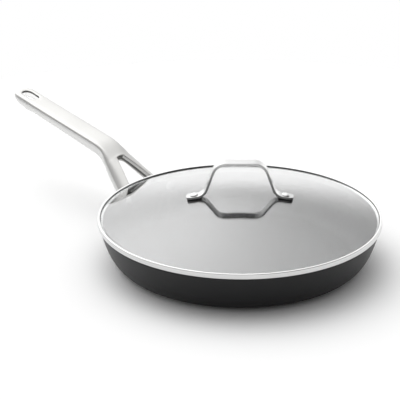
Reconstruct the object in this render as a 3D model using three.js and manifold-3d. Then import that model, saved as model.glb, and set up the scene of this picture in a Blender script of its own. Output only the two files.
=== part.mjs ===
// A covered frying pan: an anodised pan with a forked steel handle, and a domed glass lid with a steel
// band and a strap handle. Millimetres, +Z up. The origin is the centre of the pan's flat base, and the
// long handle points along -X.
import * as THREE from 'three';
import { mergeVertices } from 'three/addons/utils/BufferGeometryUtils.js';
import Module from 'manifold-3d';

const wasm = await Module();
wasm.setup();

// Clearances
const SEAT_GAP = 0.3;            // between pieces that rest on each other
const HOLE_CLEARANCE = 0.3;      // round a rivet's shank, on the radius
const LID_PLAY = 0.8;            // between the lid's skirt and the pan's wall
const LID_CLEARANCE = 1.2;       // between the handle's legs and the lid's band
const FACE_SKIP = 0.1;           // keeps the faces of two joined or cutting solids from coinciding
const CUT_LENGTH = 160;          // of drills and cutting blocks, past all that they go through

// Pan
const RIM_RADIUS = 151;
const PAN_HEIGHT = 45;
const BASE_RADIUS = 117;
const BASE_SWEEP = 23;           // level run of the wall's curve out of the base
const RIM_SWEEP = 18;            // straight run of the wall's curve into the rim
const RIM_FLARE = 20;            // degrees that the wall leans out at the rim
const WALL = 3;
const FLOOR = 4;
const WALL_THINNING = 0.6;       // share of the wall's curve where the floor's thickness eases to the wall's
const RIM_EDGE = 0.6;            // chamfer on the rim

// Long handle: reaches are from the rim outwards, rises from the rim upwards
const HANDLE_REACH = 210.5;      // rim to tip
const BEND_REACH = 56;           // rim to where the grip bends down into the legs
const BEND_RISE = 31.2;
const BEND_EASE = 13;            // half length of the bend
const CROTCH_REACH = 38.5;       // rim to the inner end of the gap between the legs
const GRIP_SLOPE = 9.3;          // degrees
const LEG_RIM_DROP = 3.66;       // from the rim down to the legs' tops where they reach its radius
const GRIP_WIDTH_TIP = 27.4;
const GRIP_WIDTH_BEND = 28.4;
const GRIP_DEPTH_TIP = 9.5;
const GRIP_DEPTH_MIDDLE = 14.5;
const GRIP_DEPTH_BEND = 16.5;
const TIP_SWELL = 62;            // length over which the grip thickens from its tip
const TIP_CORNER = 9;            // corner radius of the tip, seen from above
const TOP_EDGE = 1.8;            // eased edge between the flat top and the sides
const SECTION_POWER = 0.5;       // 1 makes the underside a half ellipse, and less makes it squarer
const SLOT_LENGTH = 24;
const SLOT_WIDTH = 13;
const SLOT_MARGIN = 6.5;         // metal left between the slot and the tip
const SLOT_WALL = 1.6;           // depth of the slot's straight wall
const SLOT_FLARE = 25;           // degrees that the slot opens out below that wall

// Legs and feet of the long handle
const LEG_WIDTH = 13.5;
const LEG_DEPTH_INNER = 7.5;
const LEG_DEPTH_OUTER = 13;
const LEG_CENTRE_BEND = 6.8;     // offset of a leg's middle from the handle's middle, at the bend
const LEG_CENTRE_RIM = 24;       // the same where it reaches the rim's radius
const LEG_TWIST = 24;            // degrees that a leg's top leans outwards once it has turned
const TWIST_REACH = 17;          // from the rim to where the leg has turned fully
const GAP_HALF_CROTCH = 6;       // half width of the gap between the legs at its inner end
const GAP_HALF_RIM = 18.5;       // the same at the rim's radius
const GAP_CORNER = 1.5;
const FOOT_WIDTH = 26;
const FOOT_HEIGHT = 19;
const FOOT_CORNER = 8;
const FOOT_THICKNESS = 4;

// Handle rivets
const RIVET_HEIGHT = 32.5;       // on the wall, above the floor
const RIVET_SPACING = 64;        // between the two rivets, across the handle
const RIVET_SHANK = 3.2;         // radius
const RIVET_HEAD = 6;            // radius
const RIVET_HEAD_RISE = 1.8;
const RIVET_TAIL = 4.8;          // radius
const RIVET_TAIL_RISE = 1.6;
const TAIL_TAPER = 0.7;          // of a formed tail's radius, left at its flat end

// Lid: heights are from the band's lower edge
const LID_OVERHANG = 1;          // of the band past the rim
const LID_TURN = 46;             // degrees from the long handle's line to the strap's line
const BAND_SHEET = 0.75;
const BAND_UPRIGHT = 3.8;        // height of the band's upright side
const BAND_SHOULDER = 1.5;       // width of the rounded shoulder over it
const LIP_WIDTH = 3.4;           // from the band's side to the lip's inner edge
const SKIRT_DEPTH = 4;
const GLASS_THICKNESS = 3;
const GLASS_INSET = 1.5;         // from the band's side to the glass's edge
const GLASS_EDGE_LIFT = 4.06;    // top of the glass at its edge
const DOME_SAGITTA = 26.6;       // from the glass's edge to its crown
const DOME_ROUNDING = 80;        // from the axis to where the round crown runs out into the flanks

// Strap handle of the lid
const STRAP_SPAN = 114;
const STRAP_WIDTH = 12.5;
const STRAP_THICKNESS = 3.2;
const STRAP_RISE = 68.1;         // top of the strap
const STRAP_TAB = 18.8;          // length of the tab, from its end to the leg's lower corner
const STRAP_LEAN = 12.8;         // how far each leg leans in from its lower corner to its upper one
const STRAP_CORNER_LOW = 7.5;    // how far each bend eases the corners
const STRAP_CORNER_HIGH = 11;
const TAB_CORNER = 4;

// Lid rivets, with their pads, seals and washers
const LID_RIVET_MARGIN = 8.5;    // from the tab's end to the rivet's middle
const LID_RIVET_SHANK = 2.6;     // radius
const LID_RIVET_HEAD = 4.6;      // radius
const LID_RIVET_HEAD_RISE = 2.1;
const LID_RIVET_TAIL = 4.2;      // radius
const LID_RIVET_TAIL_RISE = 1.4;
const PAD_THICKNESS = 0.8;
const PAD_LENGTH = 16;
const PAD_MARGIN = 0.4;          // of the pad past the strap's sides
const SEAL_RADIUS = 8;
const SEAL_THICKNESS = 1.2;
const WASHER_RADIUS = 7;
const WASHER_THICKNESS = 1;

// Facets
const TURNS = 64;                // sides of the pan and the lid
const SMALL_TURNS = 16;          // sides of rivets, washers and holes
const WALL_STEPS = 10;
const DOME_STEPS = 9;
const CORNER_STEPS = 5;
const SECTION_STEPS = 10;        // round the underside of the long handle
const GRIP_STATIONS = 9;
const BEND_STATIONS = 6;
const LEG_STATIONS = 8;

const { degToRad: radians, lerp, smoothstep } = THREE.MathUtils;
const flat = (x, y) => new THREE.Vector2(x, y);
const point = (x, y, z) => new THREE.Vector3(x, y, z);

// A closed solid for cutting and joining, from any closed geometry
function solid(geometry) {
  const bare = geometry.clone();
  bare.deleteAttribute('normal');
  bare.deleteAttribute('uv');
  const merged = mergeVertices(bare, 1e-4);
  const index = merged.index.array;
  const triangles = [];
  for (let i = 0; i < index.length; i += 3) {
    const [a, b, c] = [index[i], index[i + 1], index[i + 2]];
    if (a !== b && b !== c && c !== a) triangles.push(a, b, c);
  }
  return new wasm.Manifold(new wasm.Mesh({
    numProp: 3,
    vertProperties: Float32Array.from(merged.attributes.position.array),
    triVerts: Uint32Array.from(triangles),
  }));
}

function geometryOf(manifold) {
  const mesh = manifold.getMesh();
  const geometry = new THREE.BufferGeometry();
  geometry.setAttribute('position', new THREE.BufferAttribute(Float32Array.from(mesh.vertProperties), 3));
  geometry.setIndex(new THREE.BufferAttribute(Uint32Array.from(mesh.triVerts), 1));
  geometry.computeVertexNormals();
  return geometry;
}

// A profile of radius and height turned round the Z axis
function turned(profile, sides) {
  return new THREE.LatheGeometry(profile, sides).rotateX(Math.PI / 2);
}

// A skin through rings of points, closed at both ends. The rings turn to the left as the loft advances.
function loft(rings) {
  const size = rings[0].length;
  const index = [];
  for (let i = 0; i + 1 < rings.length; i += 1) {
    for (let j = 0; j < size; j += 1) {
      const a = i * size + j;
      const b = i * size + (j + 1) % size;
      index.push(a, b, b + size, a, b + size, a + size);
    }
  }
  const last = (rings.length - 1) * size;
  for (let j = 1; j + 1 < size; j += 1) index.push(0, j + 1, j, last, last + j, last + j + 1);
  const geometry = new THREE.BufferGeometry().setFromPoints(rings.flat());
  geometry.setIndex(index);
  return geometry;
}

function roundedRectangle(width, height, corner) {
  const shape = new THREE.Shape();
  const x = width / 2 - corner;
  const y = height / 2 - corner;
  shape.absarc(x, y, corner, 0, Math.PI / 2);
  shape.absarc(-x, y, corner, Math.PI / 2, Math.PI);
  shape.absarc(-x, -y, corner, Math.PI, Math.PI * 1.5);
  shape.absarc(x, -y, corner, Math.PI * 1.5, Math.PI * 2);
  return shape;
}

// A prism of a flat shape, centred on its own Z axis
function prism(shape, depth) {
  const options = { depth, bevelEnabled: false, curveSegments: CORNER_STEPS };
  return new THREE.ExtrudeGeometry(shape, options).translate(0, 0, -depth / 2);
}

// A drill on the Z axis
function drill(radius) {
  return new THREE.CylinderGeometry(radius, radius, CUT_LENGTH, SMALL_TURNS).rotateX(Math.PI / 2);
}

// A rivet on the Z axis: a domed head that ends at height low, a shank, and a formed tail that starts at high
function rivetGeometry(low, high, shank, head, headRise, tail, tailRise) {
  const profile = [flat(0, low - headRise)];
  for (let i = 1; i <= CORNER_STEPS; i += 1) {
    const angle = (i / CORNER_STEPS) * Math.PI / 2;
    profile.push(flat(head * Math.sin(angle), low - headRise * Math.cos(angle)));
  }
  profile.push(flat(shank, low), flat(shank, high), flat(tail, high), flat(tail, high + tailRise / 2));
  profile.push(flat(tail * TAIL_TAPER, high + tailRise), flat(0, high + tailRise));
  return turned(profile, SMALL_TURNS);
}

function washerGeometry(bore, radius, low, high) {
  const profile = [flat(bore, low), flat(radius, low), flat(radius, high), flat(bore, high), flat(bore, low)];
  return turned(profile, SMALL_TURNS);
}

const anodised = { color: 0x34363a, roughness: 0.55, metalness: 0.6 };
const castSteel = { color: 0xd8d5cf, roughness: 0.35, metalness: 1 };
const polishedSteel = { color: 0xdcdcdc, roughness: 0.18, metalness: 1 };
const temperedGlass = { color: 0xdfe6e4, roughness: 0.03, metalness: 0, transparent: true, opacity: 0.35 };
const silicone = { color: 0x1e1e1f, roughness: 0.7, metalness: 0 };

function mesh(name, geometry, finish) {
  const node = new THREE.Mesh(geometry, new THREE.MeshStandardMaterial(finish));
  node.name = name;
  return node;
}

// The wall's outer curve, from the edge of the base to the rim
const flare = radians(RIM_FLARE);
const wallCurve = new THREE.CubicBezierCurve(
  flat(BASE_RADIUS, 0),
  flat(BASE_RADIUS + BASE_SWEEP, 0),
  flat(RIM_RADIUS - RIM_SWEEP * Math.sin(flare), PAN_HEIGHT - RIM_SWEEP * Math.cos(flare)),
  flat(RIM_RADIUS, PAN_HEIGHT),
);

function wallNormal(t) {
  const along = wallCurve.getTangent(t);
  return flat(along.y, -along.x);
}

// A point of the wall at t along its curve, a distance outside it
function wallPoint(t, outside) {
  return wallCurve.getPoint(t).addScaledVector(wallNormal(t), outside);
}

// The metal thins from the floor to the rim
function innerPoint(t) {
  return wallPoint(t, -lerp(FLOOR, WALL, smoothstep(t, 0, WALL_THINNING)));
}

// Where along the curve a wall surface reaches a height, by halving
const HALVINGS = 40;

function atHeight(height, surface) {
  let low = 0;
  let high = 1;
  for (let i = 0; i < HALVINGS; i += 1) {
    const middle = (low + high) / 2;
    if (surface(middle).y < height) low = middle;
    else high = middle;
  }
  return (low + high) / 2;
}

function steps(from, to, count) {
  return Array.from({ length: count + 1 }, (_, i) => from + (to - from) * i / count);
}

// Rivet places on the wall: a frame whose Z axis leaves the wall squarely
const rivetT = atHeight(RIVET_HEIGHT, (t) => wallPoint(t, 0));
const rivetSeat = wallPoint(rivetT, 0);
const rivetWall = rivetSeat.distanceTo(innerPoint(rivetT));
const rivetAngle = Math.asin(RIVET_SPACING / 2 / rivetSeat.x);
const facetSag = RIM_RADIUS * (1 - Math.cos(Math.PI / TURNS));

function rivetFrame(side) {
  const turn = Math.PI - side * rivetAngle;
  const out = point(Math.cos(turn), Math.sin(turn), 0);
  const normal = wallNormal(rivetT);
  const axis = out.clone().multiplyScalar(normal.x).add(point(0, 0, normal.y));
  const across = point(0, 0, 1).cross(axis).normalize();
  const upward = axis.clone().cross(across);
  const seat = out.multiplyScalar(rivetSeat.x).add(point(0, 0, rivetSeat.y));
  return new THREE.Matrix4().makeBasis(across, upward, axis).setPosition(seat);
}

const SIDES = [1, -1];

// Pan body: one turned wall with a flat base, drilled for the two rivets
function panBody() {
  const rimLine = PAN_HEIGHT - RIM_EDGE;
  const outer = steps(0, atHeight(rimLine, (t) => wallPoint(t, 0)), WALL_STEPS).map((t) => wallPoint(t, 0));
  const inner = steps(atHeight(rimLine, innerPoint), 0, WALL_STEPS).map(innerPoint);
  const rimOuter = wallPoint(1, 0).x - RIM_EDGE;
  const rimInner = inner[0].x + RIM_EDGE;
  const rim = [flat(rimOuter, PAN_HEIGHT), flat(rimInner, PAN_HEIGHT)];
  let body = solid(turned([flat(0, 0), ...outer, ...rim, ...inner, flat(0, FLOOR)], TURNS));
  for (const side of SIDES) {
    const hole = drill(RIVET_SHANK + HOLE_CLEARANCE).applyMatrix4(rivetFrame(side));
    body = body.subtract(solid(hole));
  }
  return geometryOf(body);
}

// The space that the pan and its lid fill, grown by a gap: the handle is shaped to it
const lidRadius = RIM_RADIUS + LID_OVERHANG;

function panSpace(gap) {
  const wall = steps(0, 1, WALL_STEPS).map((t) => wallPoint(t, gap));
  const rim = wall[WALL_STEPS];
  const lidSide = lidRadius + LID_CLEARANCE;
  const top = PAN_HEIGHT + BEND_RISE + GRIP_DEPTH_BEND;
  const profile = [flat(0, wall[0].y), ...wall, flat(lidSide, rim.y), flat(lidSide, top), flat(0, top)];
  return solid(turned(profile, TURNS));
}

// Long handle: places are given by the distance from the pan's axis
const tipRadius = RIM_RADIUS + HANDLE_REACH;
const bendRadius = RIM_RADIUS + BEND_REACH;
const crotchRadius = RIM_RADIUS + CROTCH_REACH;
const bendTop = PAN_HEIGHT + BEND_RISE;
const legSlope = Math.atan2(BEND_RISE + LEG_RIM_DROP, BEND_REACH);

// Height of the handle's top, straight on both sides of an eased bend
function handleTop(radius) {
  const grip = Math.tan(radians(GRIP_SLOPE));
  const leg = Math.tan(legSlope);
  const past = radius - bendRadius;
  if (past >= BEND_EASE) return bendTop + past * grip;
  if (past <= -BEND_EASE) return bendTop + past * leg;
  const t = (BEND_EASE - past) / (2 * BEND_EASE);
  return bendTop + BEND_EASE * (grip * (1 - t) ** 2 - leg * t ** 2);
}

// One section: flat top with eased edges, and rounded below. Points are across and above the top's middle.
function handleSection(width, depth) {
  const half = width / 2;
  const edge = Math.min(TOP_EDGE, half / 2, depth / 2);
  const ring = [flat(half, -edge), flat(half - edge, 0), flat(edge - half, 0), flat(-half, -edge)];
  for (let i = 1; i < SECTION_STEPS; i += 1) {
    const angle = (i / SECTION_STEPS) * Math.PI;
    const across = Math.cos(angle);
    const x = -half * Math.sign(across) * Math.abs(across) ** SECTION_POWER;
    ring.push(flat(x, -edge - (depth - edge) * Math.sin(angle) ** SECTION_POWER));
  }
  return ring;
}

// Width and depth of the grip at a distance from the pan's axis
function gripWidth(radius) {
  const share = (radius - bendRadius) / (tipRadius - bendRadius);
  const full = lerp(GRIP_WIDTH_BEND, GRIP_WIDTH_TIP, share);
  const left = Math.max(0, TIP_CORNER - (tipRadius - radius));
  return full - 2 * (TIP_CORNER - Math.sqrt(TIP_CORNER ** 2 - left ** 2));
}

function gripDepth(radius) {
  const fromTip = tipRadius - radius;
  const swell = Math.sin(Math.min(1, fromTip / TIP_SWELL) * Math.PI / 2);
  const full = lerp(
    lerp(GRIP_DEPTH_TIP, GRIP_DEPTH_MIDDLE, swell),
    GRIP_DEPTH_BEND,
    smoothstep(fromTip, TIP_SWELL, tipRadius - bendRadius),
  );
  return lerp(full, LEG_DEPTH_INNER, smoothstep(-radius, -bendRadius, -crotchRadius));
}

function gripSolid() {
  const corner = steps(0, Math.PI / 2, CORNER_STEPS).map((a) => tipRadius - TIP_CORNER * (1 - Math.cos(a)));
  const straight = steps(tipRadius - TIP_CORNER, bendRadius + BEND_EASE, GRIP_STATIONS).slice(1);
  const bend = steps(bendRadius + BEND_EASE, crotchRadius - BEND_EASE / 2, BEND_STATIONS).slice(1);
  const rings = [...corner, ...straight, ...bend].map((radius) => {
    const section = handleSection(gripWidth(radius), gripDepth(radius));
    return section.map((p) => point(-radius, p.x, handleTop(radius) + p.y));
  });
  return solid(loft(rings));
}

// One leg, from inside the grip to inside the wall. Its sides stay upright while its top leans outwards.
function legSolid(side) {
  const start = bendRadius + BEND_EASE;
  const end = rivetSeat.x * Math.cos(rivetAngle) - WALL;
  const rings = steps(start, end, LEG_STATIONS).map((radius) => {
    const share = (bendRadius - radius) / BEND_REACH;
    const middle = lerp(LEG_CENTRE_BEND, LEG_CENTRE_RIM, share);
    const lean = Math.tan(radians(LEG_TWIST)) * smoothstep(-radius, -bendRadius, -RIM_RADIUS - TWIST_REACH);
    const top = handleTop(radius) - FACE_SKIP;
    const ring = handleSection(LEG_WIDTH, LEG_DEPTH_OUTER).map((p) => {
      const depth = lerp(LEG_DEPTH_INNER, LEG_DEPTH_OUTER, p.x / LEG_WIDTH + 0.5) / LEG_DEPTH_OUTER;
      return point(-radius, side * (middle + p.x), top + p.y * depth - p.x * lean);
    });
    return side > 0 ? ring : ring.reverse();
  });
  return solid(loft(rings));
}

// The open gap between the legs: it widens towards the pan, has rounded inner corners and is cut square to
// the legs' slope, so its inner end leans back under the grip. Its shape is drawn along the slope from there.
function gapSolid() {
  const length = (CROTCH_REACH + RIM_SWEEP) / Math.cos(legSlope);
  const widening = (GAP_HALF_RIM - GAP_HALF_CROTCH) * Math.cos(legSlope) / CROTCH_REACH;
  const wide = GAP_HALF_CROTCH + widening * length;
  const eased = GAP_HALF_CROTCH + widening * GAP_CORNER;
  const shape = new THREE.Shape();
  shape.moveTo(length, -wide);
  shape.lineTo(length, wide);
  shape.lineTo(GAP_CORNER, eased);
  shape.quadraticCurveTo(0, GAP_HALF_CROTCH, 0, GAP_HALF_CROTCH - GAP_CORNER);
  shape.lineTo(0, GAP_CORNER - GAP_HALF_CROTCH);
  shape.quadraticCurveTo(0, -GAP_HALF_CROTCH, GAP_CORNER, -eased);
  shape.closePath();
  const block = prism(shape, CUT_LENGTH).rotateY(legSlope);
  return solid(block.translate(-crotchRadius, 0, handleTop(crotchRadius)));
}

// A foot follows the wall and takes one rivet, whose tail stays open on the outside
function footSolid(side) {
  const block = prism(roundedRectangle(FOOT_WIDTH, FOOT_HEIGHT, FOOT_CORNER), FOOT_WIDTH);
  return solid(block.applyMatrix4(rivetFrame(side))).intersect(panSpace(SEAT_GAP + FOOT_THICKNESS));
}

// The hanging slot is square to the grip's top and opens out below a short straight wall
function slotSolid() {
  const widening = (GRIP_DEPTH_BEND - SLOT_WALL) * Math.tan(radians(SLOT_FLARE));
  const levels = [[-GRIP_DEPTH_BEND, widening], [-SLOT_WALL, 0], [GRIP_DEPTH_BEND, 0]];
  const rings = levels.map(([height, growth]) => {
    const width = SLOT_WIDTH + 2 * growth;
    const outline = roundedRectangle(SLOT_LENGTH + 2 * growth, width, width / 2).getPoints(CORNER_STEPS);
    return outline.map((p) => point(p.x, p.y, height));
  });
  const middle = tipRadius - SLOT_MARGIN - SLOT_LENGTH / 2;
  const block = loft(rings).rotateY(radians(GRIP_SLOPE));
  return solid(block.translate(-middle, 0, handleTop(middle)));
}

function longHandle() {
  let handle = gripSolid();
  for (const side of SIDES) handle = handle.add(legSolid(side));
  handle = handle.subtract(gapSolid());
  for (const side of SIDES) handle = handle.add(footSolid(side));
  handle = handle.subtract(panSpace(SEAT_GAP));
  handle = handle.subtract(slotSolid());
  for (const side of SIDES) {
    const frame = rivetFrame(side);
    const hole = drill(RIVET_SHANK + HOLE_CLEARANCE);
    const room = drill(RIVET_TAIL + 2 * HOLE_CLEARANCE);
    room.translate(0, 0, SEAT_GAP + FOOT_THICKNESS + CUT_LENGTH / 2);
    handle = handle.subtract(solid(hole.applyMatrix4(frame))).subtract(solid(room.applyMatrix4(frame)));
  }
  return geometryOf(handle);
}

function handleRivet(side) {
  const low = -rivetWall - SEAT_GAP - facetSag;
  const high = SEAT_GAP + FOOT_THICKNESS + SEAT_GAP;
  const sizes = [RIVET_SHANK, RIVET_HEAD, RIVET_HEAD_RISE, RIVET_TAIL, RIVET_TAIL_RISE];
  const rivet = mesh(`handle_rivet_${side > 0 ? 1 : 2}`, rivetGeometry(low, high, ...sizes), polishedSteel);
  rivet.applyMatrix4(rivetFrame(side));
  return rivet;
}

// Glass dome: a hyperbola turned round the axis, round at the crown and straighter down the flanks
const glassRadius = lidRadius - GLASS_INSET;
const domeDrop = (radius) => Math.hypot(DOME_ROUNDING, radius) - DOME_ROUNDING;
const domeSteepness = DOME_SAGITTA / domeDrop(glassRadius);
const domeHeight = (radius) => GLASS_EDGE_LIFT + DOME_SAGITTA - domeSteepness * domeDrop(radius);
const domeTilt = (radius) => Math.atan(domeSteepness * radius / Math.hypot(DOME_ROUNDING, radius));
const lidHoleX = STRAP_SPAN / 2 - LID_RIVET_MARGIN;
const lidHoleTilt = domeTilt(lidHoleX);

// A point of the glass at a distance from the axis, at a depth square to its top
function domePoint(radius, depth) {
  const tilt = domeTilt(radius);
  return flat(radius - depth * Math.sin(tilt), domeHeight(radius) - depth * Math.cos(tilt));
}

// Frames at the two holes, on the top of the glass, with the Z axis square to it
function lidHoleFrame(side) {
  const turn = new THREE.Matrix4().makeRotationY(side * lidHoleTilt);
  return turn.setPosition(side * lidHoleX, 0, domeHeight(lidHoleX));
}

function lidGlass() {
  const bottom = steps(0, glassRadius, DOME_STEPS).map((r) => domePoint(r, GLASS_THICKNESS));
  const top = steps(glassRadius, 0, DOME_STEPS).map((r) => domePoint(r, 0));
  let glass = solid(turned([...bottom, ...top], TURNS));
  for (const side of SIDES) {
    const hole = drill(LID_RIVET_SHANK + 2 * HOLE_CLEARANCE);
    glass = glass.subtract(solid(hole.applyMatrix4(lidHoleFrame(side))));
  }
  return geometryOf(glass);
}

// Rim band: one formed sheet. It runs from the lip on the glass over the shoulder, down the side, back under
// the glass as the flange that sits on the pan, and down as the skirt inside it.
function lidRim() {
  const lipInner = lidRadius - LIP_WIDTH;
  const shoulderInner = lidRadius - BAND_SHOULDER;
  const lipTop = (r) => domeHeight(r) + SEAT_GAP + BAND_SHEET;
  const shoulderTop = lipTop(shoulderInner);
  const skirtRadius = (drop) => innerPoint(atHeight(PAN_HEIGHT - RIM_EDGE - drop, innerPoint)).x - LID_PLAY;
  const skirtTop = skirtRadius(0);
  const skirtLow = skirtRadius(SKIRT_DEPTH);
  const outside = [flat(skirtTop, 0), flat(lidRadius, 0), flat(lidRadius, BAND_UPRIGHT)];
  const inside = [flat(lipInner, lipTop(lipInner) - BAND_SHEET)];
  inside.push(flat(shoulderInner, shoulderTop - BAND_SHEET));
  for (let i = 1; i <= CORNER_STEPS; i += 1) {
    const angle = (i / CORNER_STEPS) * Math.PI / 2;
    const rise = (shoulderTop - BAND_UPRIGHT) * Math.sin(angle);
    outside.push(flat(shoulderInner + BAND_SHOULDER * Math.cos(angle), BAND_UPRIGHT + rise));
  }
  outside.push(flat(lipInner, lipTop(lipInner)));
  inside.push(flat(lidRadius - BAND_SHEET, BAND_UPRIGHT), flat(lidRadius - BAND_SHEET, BAND_SHEET));
  inside.push(flat(skirtTop - BAND_SHEET, BAND_SHEET));
  const skirt = [flat(skirtLow - BAND_SHEET, -SKIRT_DEPTH), flat(skirtLow, -SKIRT_DEPTH)];
  return turned([...outside, ...inside, ...skirt, outside[0]], TURNS);
}

// A line of straight runs whose corners are eased over a given length
function easedLine(corners, eases) {
  const line = new THREE.CurvePath();
  let from = corners[0];
  for (let i = 1; i + 1 < corners.length; i += 1) {
    const before = corners[i].clone().add(corners[i - 1].clone().sub(corners[i]).setLength(eases[i - 1]));
    const after = corners[i].clone().add(corners[i + 1].clone().sub(corners[i]).setLength(eases[i - 1]));
    line.add(new THREE.LineCurve(from, before));
    line.add(new THREE.QuadraticBezierCurve(before, corners[i], after));
    from = after;
  }
  line.add(new THREE.LineCurve(from, corners[corners.length - 1]));
  return line.getPoints(CORNER_STEPS);
}

// A sheet of even thickness along a line, as a flat shape
function sheetShape(line, thickness) {
  const sideOf = (offset) => line.map((p, i) => {
    const along = line[Math.min(i + 1, line.length - 1)].clone().sub(line[Math.max(i - 1, 0)]).normalize();
    return flat(p.x - along.y * offset, p.y + along.x * offset);
  });
  return new THREE.Shape([...sideOf(-thickness / 2), ...sideOf(thickness / 2).reverse()]);
}

// Strap handle: a bent sheet seen from the side, trimmed to rounded ends seen from above
const tabLow = SEAT_GAP + PAD_THICKNESS + SEAT_GAP;

function lidHandle() {
  const tabMiddle = flat(lidHoleX, domeHeight(lidHoleX)).add(flat(
    Math.sin(lidHoleTilt),
    Math.cos(lidHoleTilt),
  ).multiplyScalar(tabLow + STRAP_THICKNESS / 2));
  const tabHeight = (x) => tabMiddle.y - (x - tabMiddle.x) * Math.tan(lidHoleTilt);
  const tabEnd = STRAP_SPAN / 2 + STRAP_THICKNESS;
  const legFoot = STRAP_SPAN / 2 - STRAP_TAB;
  const half = [flat(tabEnd, tabHeight(tabEnd)), flat(legFoot, tabHeight(legFoot))];
  half.push(flat(legFoot - STRAP_LEAN, STRAP_RISE - STRAP_THICKNESS / 2));
  const corners = [...half, ...half.map((p) => flat(-p.x, p.y)).reverse()];
  const eases = [STRAP_CORNER_LOW, STRAP_CORNER_HIGH, STRAP_CORNER_HIGH, STRAP_CORNER_LOW];
  const sheet = sheetShape(easedLine(corners, eases), STRAP_THICKNESS);
  const bent = solid(prism(sheet, STRAP_WIDTH).rotateX(Math.PI / 2));
  const plan = prism(roundedRectangle(STRAP_SPAN, STRAP_WIDTH + FACE_SKIP, TAB_CORNER), CUT_LENGTH);
  let strap = bent.intersect(solid(plan));
  for (const side of SIDES) {
    const hole = drill(LID_RIVET_SHANK + HOLE_CLEARANCE);
    strap = strap.subtract(solid(hole.applyMatrix4(lidHoleFrame(side))));
  }
  return geometryOf(strap);
}

// What holds the strap at one end, from the top: rivet, pad, then seal and washer under the glass
function lidFastening(side) {
  const number = side > 0 ? 1 : 2;
  const bore = LID_RIVET_SHANK + HOLE_CLEARANCE;
  const sealTop = -GLASS_THICKNESS - SEAT_GAP;
  const washerTop = sealTop - SEAL_THICKNESS - SEAT_GAP;
  const tailTop = washerTop - WASHER_THICKNESS - SEAT_GAP;
  const headLow = tabLow + STRAP_THICKNESS + SEAT_GAP;
  const group = new THREE.Group();
  group.applyMatrix4(lidHoleFrame(side));

  const padShape = roundedRectangle(PAD_LENGTH, STRAP_WIDTH + 2 * PAD_MARGIN, TAB_CORNER);
  const padBlock = prism(padShape, PAD_THICKNESS).translate(0, 0, SEAT_GAP + PAD_THICKNESS / 2);
  const pad = solid(padBlock).subtract(solid(drill(bore)));
  group.add(mesh(`lid_pad_${number}`, geometryOf(pad), silicone));

  const seal = washerGeometry(bore, SEAL_RADIUS, sealTop - SEAL_THICKNESS, sealTop);
  group.add(mesh(`lid_seal_${number}`, seal, silicone));
  const washer = washerGeometry(bore, WASHER_RADIUS, washerTop - WASHER_THICKNESS, washerTop);
  group.add(mesh(`lid_washer_${number}`, washer, polishedSteel));

  const sizes = [LID_RIVET_SHANK, LID_RIVET_HEAD, LID_RIVET_HEAD_RISE, LID_RIVET_TAIL, LID_RIVET_TAIL_RISE];
  const rivet = rivetGeometry(-headLow, -tailTop, ...sizes).rotateX(Math.PI);
  group.add(mesh(`lid_rivet_${number}`, rivet, polishedSteel));
  return group;
}

const pan = new THREE.Group();
pan.add(mesh('pan_body', panBody(), anodised));
pan.add(mesh('long_handle', longHandle(), castSteel));
for (const side of SIDES) pan.add(handleRivet(side));

const lid = new THREE.Group();
lid.position.z = PAN_HEIGHT + SEAT_GAP;
lid.rotation.z = radians(LID_TURN);
lid.add(mesh('lid_glass', lidGlass(), temperedGlass));
lid.add(mesh('lid_rim', lidRim(), polishedSteel));
lid.add(mesh('lid_handle', lidHandle(), polishedSteel));
for (const side of SIDES) lid.add(lidFastening(side));

const fryingPan = new THREE.Group();
fryingPan.add(pan, lid);

export default fryingPan;
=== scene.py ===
import math

import bmesh
import bpy
from mathutils import Matrix, Vector


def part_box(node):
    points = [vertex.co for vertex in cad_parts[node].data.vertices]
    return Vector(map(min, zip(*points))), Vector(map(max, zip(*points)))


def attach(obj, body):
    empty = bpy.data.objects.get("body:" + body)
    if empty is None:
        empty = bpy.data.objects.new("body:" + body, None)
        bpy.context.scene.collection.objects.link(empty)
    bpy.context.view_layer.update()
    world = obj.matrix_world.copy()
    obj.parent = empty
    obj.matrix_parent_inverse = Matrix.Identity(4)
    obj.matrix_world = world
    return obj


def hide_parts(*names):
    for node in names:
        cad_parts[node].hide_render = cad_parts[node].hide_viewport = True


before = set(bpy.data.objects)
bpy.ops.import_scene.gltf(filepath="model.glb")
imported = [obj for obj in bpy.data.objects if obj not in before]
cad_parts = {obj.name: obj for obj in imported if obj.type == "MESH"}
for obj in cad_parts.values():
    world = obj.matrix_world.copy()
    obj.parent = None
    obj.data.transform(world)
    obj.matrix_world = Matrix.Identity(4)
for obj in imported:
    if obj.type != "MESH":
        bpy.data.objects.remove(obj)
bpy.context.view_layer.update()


# Pan: one pressing of aluminium, hard anodised to a dull charcoal, with a dark cooking coat inside.
# The floor is the thickest part, and the metal thins up the flared wall to a rounded rim.
MM = 0.001
PAN_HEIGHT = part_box("pan_body")[1].z
RIM_RADIUS = 151 * MM
BASE_RADIUS = 117 * MM
BASE_SWEEP = 23 * MM
RIM_SWEEP = 18 * MM
RIM_FLARE = math.radians(20)
WALL = 3 * MM
FLOOR = 4 * MM
WALL_THINNING = 0.6
RIM_ROUNDING = 1.2 * MM
AXIS_HOLE = 2 * MM
PAN_SIDES = 192
WALL_RINGS = 30
RIM_RINGS = 8
HALVINGS = 40
SAME_POINT = 0.001 * MM
SMOOTH_ANGLE = math.radians(40)
ANODISED_DARK = (0.0045, 0.0046, 0.0052, 1)
ANODISED_LIGHT = (0.0075, 0.0077, 0.0087, 1)
COAT_DARK = (0.046, 0.046, 0.048, 1)
COAT_LIGHT = (0.054, 0.054, 0.056, 1)

WALL_CURVE = (
    Vector((BASE_RADIUS, 0)),
    Vector((BASE_RADIUS + BASE_SWEEP, 0)),
    Vector((RIM_RADIUS - RIM_SWEEP * math.sin(RIM_FLARE), PAN_HEIGHT - RIM_SWEEP * math.cos(RIM_FLARE))),
    Vector((RIM_RADIUS, PAN_HEIGHT)),
)


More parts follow.
